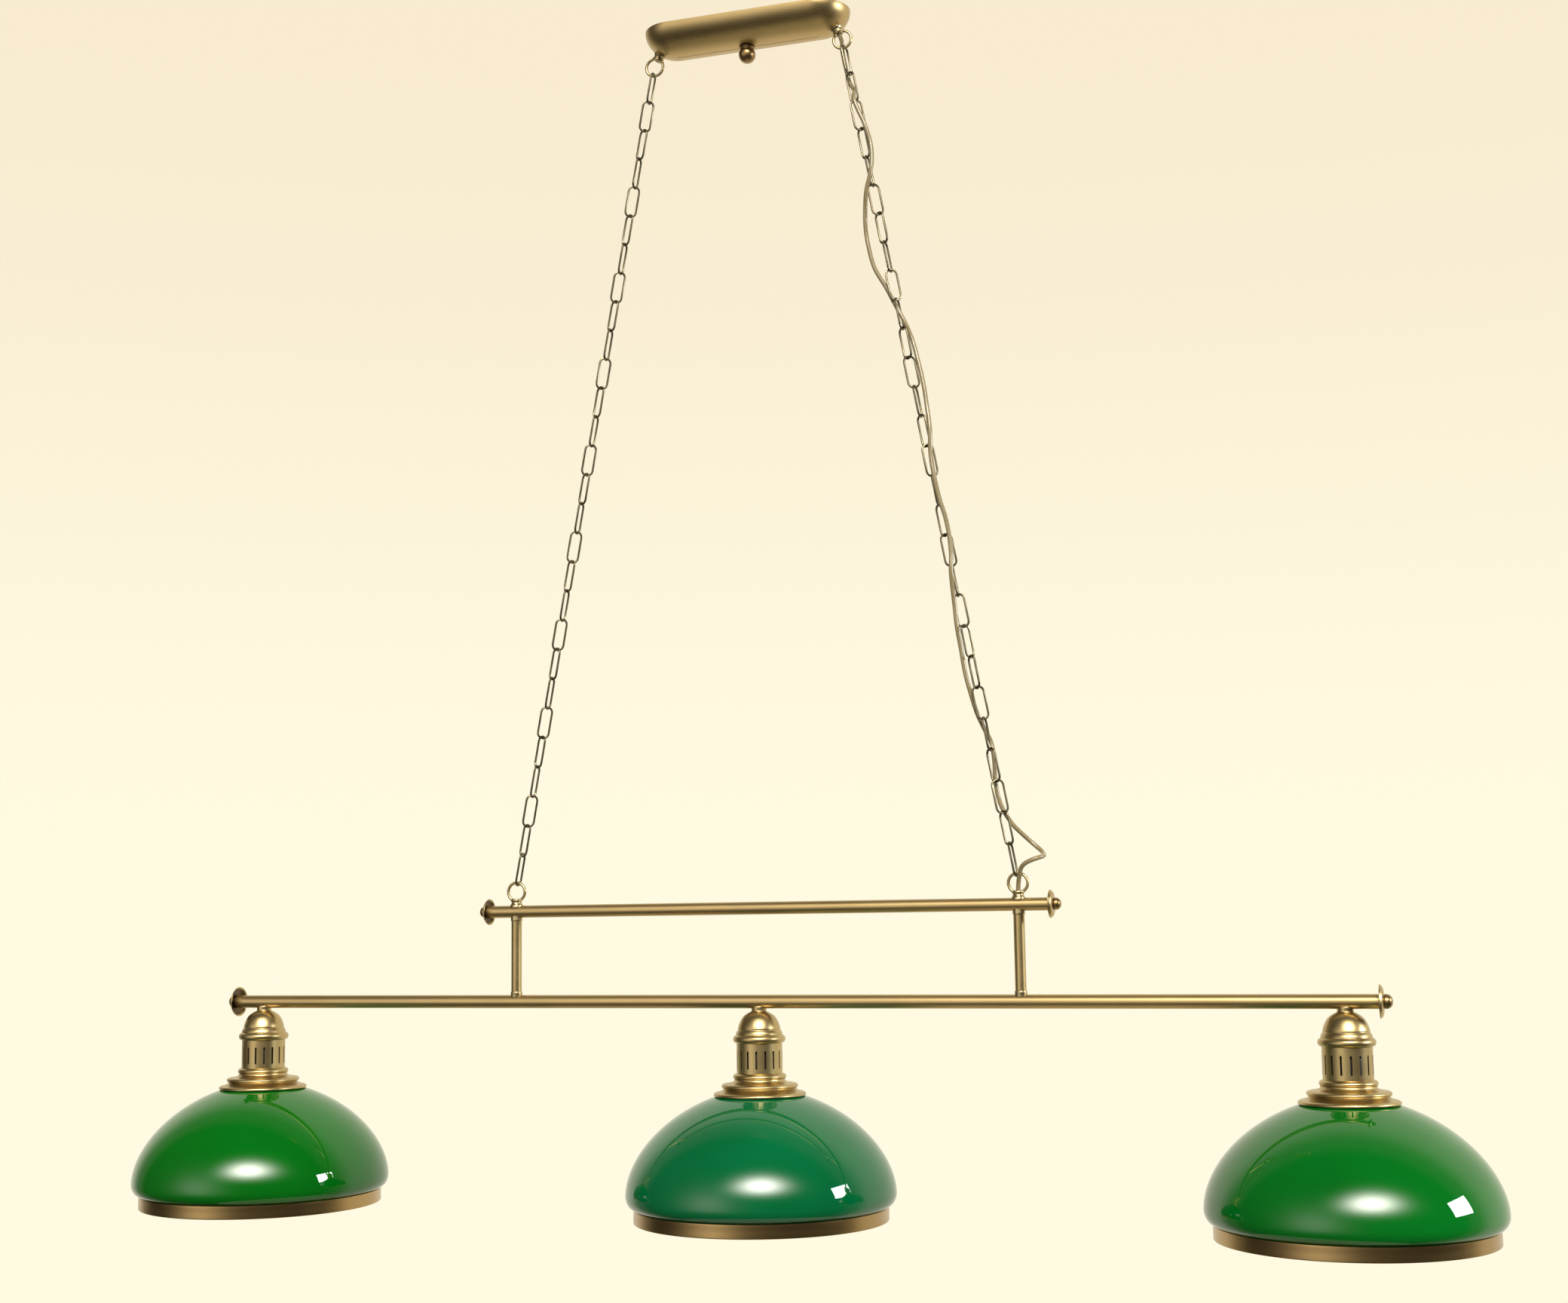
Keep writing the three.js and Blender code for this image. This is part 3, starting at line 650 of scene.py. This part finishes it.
def dish_profile(flange):
    """An end flange, with the bar's end at height 0 and outward up."""
    return rounded(
        [(2.6, 0.3), None, (flange * 0.5, 0.3), (flange * 0.8, -0.7), (flange - 0.5, -2.8), None,
         (flange - 0.1, -2.9), (flange, -2.4), (flange - 0.3, -1.9), None, (flange * 0.86, 0),
         (flange * 0.72, 0.9), (flange * 0.58, 1.4), (flange * 0.5, 1.4), None, (2.6, 1.4)],
        5,
    )


def button_profile(radius, reach):
    """A finial: a domed button on a stem that goes into the bar."""
    seat = 1.7
    return rounded(
        [(0, -9), None, (2.2, -9), None, (2.2, seat), None, (radius * 0.93, seat), None,
         (radius * 0.99, 2.3), (radius, 3), (radius * 0.95, seat + reach * 0.48),
         (radius * 0.75, seat + reach * 0.76), (radius * 0.42, seat + reach * 0.94), (0, seat + reach)],
        5,
    )


def bars():
    """The two bars, each with a dished flange and a finial on both ends."""
    for level, dims in (("upper", UPPER), ("lower", LOWER)):
        end, radius = dims["end"], dims["radius"]
        inner, edge = radius - TUBE_WALL, radius - 0.3
        bar = lathe(
            [(inner, -end), (edge, -end), (radius, -end + 0.3), (radius, end - 0.3), (edge, end),
             (inner, end)],
            56,
        )
        at = move(0, 0, dims["z"]) @ toward(1)
        piece(f"{level}_bar_tube", *placed(bar, at), BRASS, "frame", "satin_brass", [f"{level}_bar"])
        dish = lathe(dish_profile(dims["flange"]), 56)
        button = lathe(button_profile(dims["finial"], dims["reach"]), 40)
        for word, side in SIDES.items():
            at = move(side * end, 0, dims["z"]) @ toward(side)
            name = f"{level}_flange_{word}"
            made = piece(f"{name}_dish", *placed(dish, at), FLANGE, "frame", "satin_brass", [name])
            # The dished side is marked for the flange's painted shade.
            hollow = made.data.attributes.new("painted_shade", "FLOAT", "POINT")
            values = [in_hollow(vertex.co / MM, dims) for vertex in made.data.vertices]
            hollow.data.foreach_set("value", values)
            name = f"{level}_finial_{word}"
            piece(f"{name}_button", *placed(button, at), AGED, "frame", "bright_brass", [name])


def posts():
    """The two posts between the bars, with a ferrule ring at each end."""
    inner = POST_RADIUS - TUBE_WALL
    top, bottom = UPPER["z"] - 5.5, LOWER["z"] + 6
    for word, side in SIDES.items():
        post = lathe([(inner, bottom), (POST_RADIUS, bottom), (POST_RADIUS, top), (inner, top)], 40)
        at = move(side * POST_X)
        piece(f"post_{word}_tube", *placed(post, at), TURNED, "frame", "satin_brass", [f"post_{word}"])
        for level, dims, way in (("upper", UPPER, -1), ("lower", LOWER, 1)):
            seat = dims["z"] + way * dims["radius"]
            ring = rounded(
                [(6.05, seat - way * 2.4), None, (6.5, seat - way * 2.4), None,
                 (6.6, seat + way * 0.4), (6.7, seat + way * 1.6), (6.7, seat + way * 2.8),
                 (6.5, seat + way * 3.7), (6.15, seat + way * 4), None, (6.05, seat + way * 3.9)],
                4,
            )
            name = f"post_ferrule_{level}_{word}"
            piece(f"{name}_ring", *placed(lathe(ring, 40), at), BRIGHT, "frame", "bright_brass", [name])


# ---------------------------------------------------------------- lamps
def below(profile):
    """Turns [radius, depth below the lower bar's axis] into [radius, z]."""
    return [p if p is None else (p[0], LOWER["z"] - p[1]) for p in profile]


def vent_sleeve():
    """A thin tube with upright slots whose ends are pointed, built cell by cell."""
    outer, inner, slots = 25.2, 24.2, 16
    slot_half = 1.05 / outer
    between, slot_columns = 4, 2
    period = between + 3
    # Rows of points from the top down. The slots run from row 1 to row 4.
    depths = [44.5, 52.4, 53.1, 71.8, 72.5, 77.6]
    slot_tips, slot_rows, slot_edges = {1: 0.7, 4: -0.7}, (1, 2, 3), (0, 2)
    pitch = 2 * math.pi / slots
    angles = []
    for s in range(slots):
        middle = s * pitch + pitch / 2
        angles += [middle - slot_half, middle, middle + slot_half]
        gap = pitch - 2 * slot_half
        angles += [middle + slot_half + gap * (k + 1) / (between + 1) for k in range(between)]
    columns = len(angles)
    points = []
    for radius in (outer, inner):
        for row, depth in enumerate(depths):
            for column, angle in enumerate(angles):
                shift = slot_tips.get(row, 0) if column % period in slot_edges else 0
                z = LOWER["z"] - depth - shift
                points.append((radius * math.cos(angle), radius * math.sin(angle), z))

    def at(layer, row, column):
        return (layer * len(depths) + row) * columns + column % columns

    faces = []
    for row in range(len(depths) - 1):
        for c in range(columns):
            place = c % period
            if row in slot_rows and place < slot_columns:
                if place == 0:
                    faces.append([at(0, row, c), at(0, row + 1, c), at(1, row + 1, c), at(1, row, c)])
                else:
                    e = c + 1
                    faces.append([at(0, row, e), at(1, row, e), at(1, row + 1, e), at(0, row + 1, e)])
                if row == slot_rows[0]:
                    faces.append([at(0, row, c), at(1, row, c), at(1, row, c + 1), at(0, row, c + 1)])
                if row == slot_rows[-1]:
                    low = row + 1
                    faces.append([at(0, low, c), at(0, low, c + 1), at(1, low, c + 1), at(1, low, c)])
                continue
            faces.append([at(0, row + 1, c), at(0, row + 1, c + 1), at(0, row, c + 1), at(0, row, c)])
            faces.append([at(1, row, c), at(1, row, c + 1), at(1, row + 1, c + 1), at(1, row + 1, c)])
    last = len(depths) - 1
    for c in range(columns):
        faces.append([at(0, 0, c), at(0, 0, c + 1), at(1, 0, c + 1), at(1, 0, c)])
        faces.append([at(0, last, c), at(1, last, c), at(1, last, c + 1), at(0, last, c + 1)])
    return points, faces


def dome(radius, top, steps=30):
    """[radius, depth] points of the shade's upper surface, from the hole at its top to its widest."""
    power, height, hole = SHADE_POWER, SHADE_WIDEST - top, 23

    def depth(r):
        return SHADE_WIDEST - height * (1 - min(r / radius, 1) ** power) ** (1 / power)

    radii = [radius * math.sin(math.pi / 2 * i / steps) for i in range(steps + 1)]
    return [(r, depth(r)) for r in [hole] + [r for r in radii if r > hole + 1]]


def shade():
    """The glass, and which of its points are on the white inside."""
    outer = dome(SHADE_RADIUS, SHADE_TOP)
    inner = dome(SHADE_RADIUS - SHADE_WALL, SHADE_TOP + SHADE_WALL)[::-1]
    shoulder = []
    for i in range(1, 11):
        t = math.pi / 2 * i / 10
        shoulder.append((138.4 + 10.1 * math.cos(t), SHADE_WIDEST + 13.5 * math.sin(t)))
    lip = [(138.2, 220.6), (138.2, 233.9), (137.7, 234.4), (136.5, 234.45), (135.3, 234.3),
           (134.9, 233.8), (134.9, 220)]
    back = [(r - 3.1, depth - 0.9) for r, depth in shoulder[::-1][1:]]
    profile = [*outer, *shoulder, *lip, *back, *inner]
    first_inside = len(outer) + len(shoulder) + 3
    lining = [1.0 if i >= first_inside else 0.0 for i in range(len(profile))]
    return below(profile), lining


# Turned pieces of each lamp, as [radius, depth below the lower bar's axis].
CAP = below(
    [(5.4, 4.6), None, (8, 4.6), None, (8.3, 5.1), (8.3, 9.6), None, (8.6, 10.4), (11, 11.6),
     (14.2, 13.4), (17, 15.6), (19, 18), (21, 21.6), (22.6, 25.6), (23.5, 29), None, (23.4, 30.2),
     (23.9, 30.9), None, (25, 32.8), (25.7, 34.7), None, (25.7, 35.8), (26.8, 36.6), (28.3, 38),
     (28.9, 40), (28.7, 42), (27.7, 43.7), (26, 44.6), None, (24.4, 44.6), None, (24.4, 38),
     (22.6, 31), (20.2, 23.6), (17.4, 19.2), (12.8, 15.2), (8, 13), (5.4, 12.2)]
)
GALLERY = below(
    [(24.2, 77.4), None, (25.2, 77.4), None, (26.4, 77.9), (28.5, 79.1), (29.3, 80.9), (28.9, 82.6),
     (27.8, 83.8), None, (28.2, 85.2), (30, 86.7), (33.4, 87.7), (38, 88.4), None, (40.4, 88.9),
     (41.8, 90), (42.1, 91.5), (41.2, 93), (39.6, 93.7), None, (40.2, 94.6), (42.2, 96), (45.4, 97.2),
     (48.8, 98), (50.4, 99), (50.9, 100.4), (50.6, 101.5), None, (49.3, 101.4), None,
     (48.4, 99.8), (42.6, 98.2), (37.8, 95.2), None, (39.4, 91.6), (32.2, 89.8), (27, 85.6), (24.4, 81)]
)
BAND = below(
    [(138.7, 220.9), (139.1, 220.5), (139.55, 220.9), None, (139.6, 222), (139.5, 228), (139.6, 234),
     (139.5, 235.2), (138.9, 235.6), None, (135.3, 235.6), None, (135.3, 235.0), None, (138.6, 234.9),
     None, (138.6, 221.5)]
)
HOLDER = below(
    [(5.3, 54), None, (15.4, 54), (18.6, 55), (19.6, 57.6), None, (19.6, 92.8), None, (26.8, 92.9),
     (27, 94), (26.8, 95.1), None, (20, 95.2), None, (20, 112.6), (19.4, 113.8), (18, 114), None,
     (14, 114), None, (14, 88), None, (5.3, 88)]
)
SHADE_RING = below(
    [(20.5, 101), None, (28, 101), (28.5, 101.6), None, (28.5, 106), (28, 106.6), None, (20.5, 106.6)]
)
BULB = below(
    [(0, 91.5), None, (8, 91.8), (12.6, 93.6), (13, 95.6), None, (13, 117), None, (13.4, 119), (15.4, 124),
     (19.6, 131.6), (25.4, 142.6), (29.2, 153.8), (30, 165), (28.2, 177), (23.6, 188), (16.6, 195.8),
     (8.6, 199.3), (0, 200)]
)


def lamps():
    """Three equal lamps under the lower bar. Only the tint of the glass differs."""
    glass_profile, lining = shade()
    segments = 96
    for word, side in LAMPS.items():
        at = move(side * LAMP_X)

        def turned(name, profile, material, slot, node, parts=64):
            shape = placed(lathe(profile, parts), at)
            return piece(name, *shape, material, "frame", slot, [f"{node}_{word}"])

        turned(f"holder_cap_{word}_shell", rounded(CAP, 4), TURNED, "satin_brass", "holder_cap")
        turned(f"gallery_{word}_shell", rounded(GALLERY, 4), TURNED, "satin_brass", "gallery", 80)
        turned(f"rim_band_{word}_ring", rounded(BAND, 3), COPPER, "copper_brass", "rim_band", 128)
        turned(f"lampholder_{word}_body", rounded(HOLDER, 4), BAKELITE, "bakelite", "lampholder", 48)
        turned(f"shade_ring_{word}_body", rounded(SHADE_RING, 3), BAKELITE, "bakelite", "shade_ring", 48)
        turned(f"bulb_{word}_glass", rounded(BULB, 4), FROSTED, "frosted_bulb", "bulb", 48)
        name = f"vent_sleeve_{word}"
        piece(f"{name}_tube", *placed(vent_sleeve(), at), TURNED, "frame", "satin_brass", [name])
        glass = turned(f"shade_{word}_glass", glass_profile, GLASS, "green_glass", "shade", segments)
        rows = lining if signed_area(glass_profile) >= 0 else lining[::-1]
        inside = glass.data.attributes.new("lining", "FLOAT", "POINT")
        inside.data.foreach_set("value", [value for value in rows for _ in range(segments)])
        tint = glass.data.attributes.new("tint", "FLOAT", "POINT")
        tint.data.foreach_set("value", [GLASS_TINT[word]] * len(glass.data.vertices))


def keep_cad():
    """CAD pieces whose shape is right: they only get their finish."""
    finishes = {"ceiling_bracket": STEEL, "canopy_stud": STEEL, "terminal_block": TERMINAL}
    finishes.update({f"nipple_{word}": STEEL for word in LAMPS})
    for name, material in finishes.items():
        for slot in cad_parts[name].material_slots:
            slot.material = material


chains()
canopy()
eyelets()
bars()
posts()
lamps()
keep_cad()


# ---------------------------------------------------------------- studio
def window():
    """A cool window far out to the right, which puts a small bright patch on each shade."""
    data = bpy.data.lights.new("window", "AREA")
    data.shape = "RECTANGLE"
    data.size, data.size_y = WINDOW["size"]
    data.energy = WINDOW["power"]
    data.color = WINDOW_COLOUR
    light = bpy.data.objects.new("window", data)
    bpy.context.scene.collection.objects.link(light)
    light.location = WINDOW["place"]
    light.rotation_mode = "QUATERNION"
    outlook = Vector(WINDOW["aim"]) - Vector(WINDOW["place"])
    light.rotation_quaternion = outlook.to_track_quat("-Z", "Y")


def facing(tree, direction):
    """The dot product of the direction looked in and another one."""
    place = tree.nodes.new("ShaderNodeTexCoord")
    dot = tree.nodes.new("ShaderNodeVectorMath")
    dot.operation = "DOT_PRODUCT"
    dot.inputs[1].default_value = direction
    tree.links.new(place.outputs["Generated"], dot.inputs[0])
    return dot.outputs["Value"]


def sky_nodes(tree, direction, stops):
    """Surroundings that change from behind a direction to straight along it."""
    half = tree.nodes.new("ShaderNodeMapRange")
    half.inputs["From Min"].default_value = -1
    tree.links.new(facing(tree, Vector(direction).normalized()), half.inputs["Value"])
    colour = ramp(tree, half.outputs["Result"], *stops)
    colour.node.color_ramp.interpolation = "EASE"
    return colour


def math_node(tree, operation, a, b):
    """A maths node of two values, each a socket or a number."""
    node = tree.nodes.new("ShaderNodeMath")
    node.operation = operation
    for socket, value in zip(node.inputs, (a, b)):
        if hasattr(value, "is_linked"):
            tree.links.new(value, socket)
        else:
            socket.default_value = value
    return node.outputs["Value"]


def glow_nodes(tree, azimuth, elevation, wide, high):
    """How much of a soft oval patch of light is seen in a direction. The four angles are in degrees."""
    azimuth, elevation, wide, high = (math.radians(a) for a in (azimuth, elevation, wide, high))
    level = Vector((math.sin(azimuth), math.cos(azimuth), 0))
    up = Vector((0, 0, 1))
    sideways = level.cross(up) / math.sin(wide)
    upward = (up * math.cos(elevation) - level * math.sin(elevation)) / math.sin(high)
    ahead = level * math.cos(elevation) + up * math.sin(elevation)
    squares = []
    for axis in (sideways, upward):
        part = facing(tree, axis)
        squares.append(math_node(tree, "MULTIPLY", part, part))
    spread = math_node(tree, "MULTIPLY", math_node(tree, "ADD", *squares), -0.5)
    patch = math_node(tree, "POWER", math.e, spread)
    in_front = math_node(tree, "GREATER_THAN", facing(tree, ahead), 0)
    return math_node(tree, "MULTIPLY", patch, in_front)


def surroundings():
    """A cream wall behind the lamp, and a dim room in front with two soft patches of light in it."""
    world = bpy.data.worlds.new("studio")
    bpy.context.scene.world = world
    world.use_nodes = True
    tree = world.node_tree
    links = tree.links

    room = tree.nodes["Background"]
    links.new(sky_nodes(tree, (0, 1, 0.05), ROOM_TONES), room.inputs["Color"])
    glow = tree.nodes.new("ShaderNodeBackground")
    glow.inputs["Color"].default_value = (*GLOW_COLOUR, 1)
    high = math_node(tree, "MULTIPLY", glow_nodes(tree, *HIGH_GLOW), HIGH_STRENGTH)
    side = math_node(tree, "MULTIPLY", glow_nodes(tree, *SIDE_GLOW), SIDE_STRENGTH)
    links.new(math_node(tree, "ADD", high, side), glow.inputs["Strength"])
    reflected = tree.nodes.new("ShaderNodeAddShader")
    links.new(room.outputs["Background"], reflected.inputs[0])
    links.new(glow.outputs["Background"], reflected.inputs[1])

    wall = tree.nodes.new("ShaderNodeBackground")
    links.new(sky_nodes(tree, (0, 0, 1), WALL_TONES), wall.inputs["Color"])
    seen = tree.nodes.new("ShaderNodeLightPath")
    mix = tree.nodes.new("ShaderNodeMixShader")
    links.new(seen.outputs["Is Camera Ray"], mix.inputs["Fac"])
    links.new(reflected.outputs["Shader"], mix.inputs[1])
    links.new(wall.outputs["Background"], mix.inputs[2])
    links.new(mix.outputs["Shader"], tree.nodes["World Output"].inputs["Surface"])


def floor():
    """A plain pale disc far below the lamp."""
    mesh = bpy.data.meshes.new("floor")
    under = FLOOR_TOP - FLOOR_THICK
    outline = [(0, FLOOR_TOP), (FLOOR_RADIUS, FLOOR_TOP), (FLOOR_RADIUS, under), (0, under)]
    points, faces = lathe(outline, 96)
    mesh.from_pydata([Vector(p) * MM for p in points], [], faces)
    material, tree, shader = nodes_of("studio_floor")
    pale = ramp(tree, noise(tree, 2, 2), (0.3, (0.42, 0.395, 0.33)), (0.7, (0.45, 0.42, 0.355)))
    tree.links.new(pale, shader.inputs["Base Color"])
    shader.inputs["Roughness"].default_value = 0.8
    mesh.materials.append(material)
    made = bpy.data.objects.new("floor", mesh)
    bpy.context.scene.collection.objects.link(made)


surroundings()
floor()
window()
bpy.context.scene.view_settings.view_transform = "Standard"
